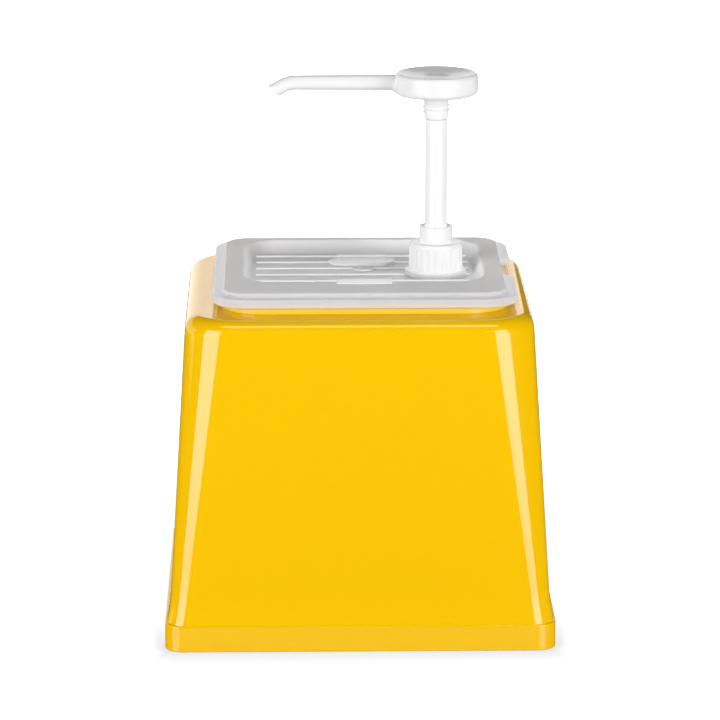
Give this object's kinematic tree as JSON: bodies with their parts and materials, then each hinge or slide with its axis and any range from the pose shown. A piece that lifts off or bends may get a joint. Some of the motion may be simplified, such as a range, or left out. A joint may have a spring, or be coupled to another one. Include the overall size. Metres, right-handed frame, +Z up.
{
  "type": "sauce pump dispenser",
  "caption": "Counter-top sauce dispenser: tapered moulded casing, hanging translucent food pan with a ribbed lid, and a sprung push pump whose head swivels and has a bent spout.",
  "frame": {"origin": "middle of the casing's footprint, on the surface it stands on", "axes": "+Z up, -Y towards the front, +X towards the pump's side; at rest the spout points along -X"},
  "size_m": [0.226, 0.212, 0.3179],
  "materials": {
    "casing": "glossy warm yellow moulded plastic",
    "container": "natural translucent polypropylene",
    "lid": "natural translucent polypropylene with a fine satin surface",
    "pump": "white moulded polypropylene"
  },
  "bodies": {
    "base": {"casing": "casing", "container": "container", "lid": "lid", "screw_cap": "pump", "lock_collar": "pump", "stem_guide": "pump", "pump_barrel": "pump"},
    "plunger": {"stem": "pump"},
    "head": {"head": "pump"}
  },
  "joints": [
    {"name": "plunger_stroke", "type": "slide", "parent": "base", "child": "plunger", "axis": [0, 0, -1], "range_m": [0, 0.0784], "stiffness_N_per_m": 120, "springref_m": -0.04},
    {"name": "head_swivel", "type": "hinge", "parent": "plunger", "child": "head", "pos_m": [0.0465, 0.011, 0.31], "axis": [0, 0, 1], "continuous": true}
  ]
}
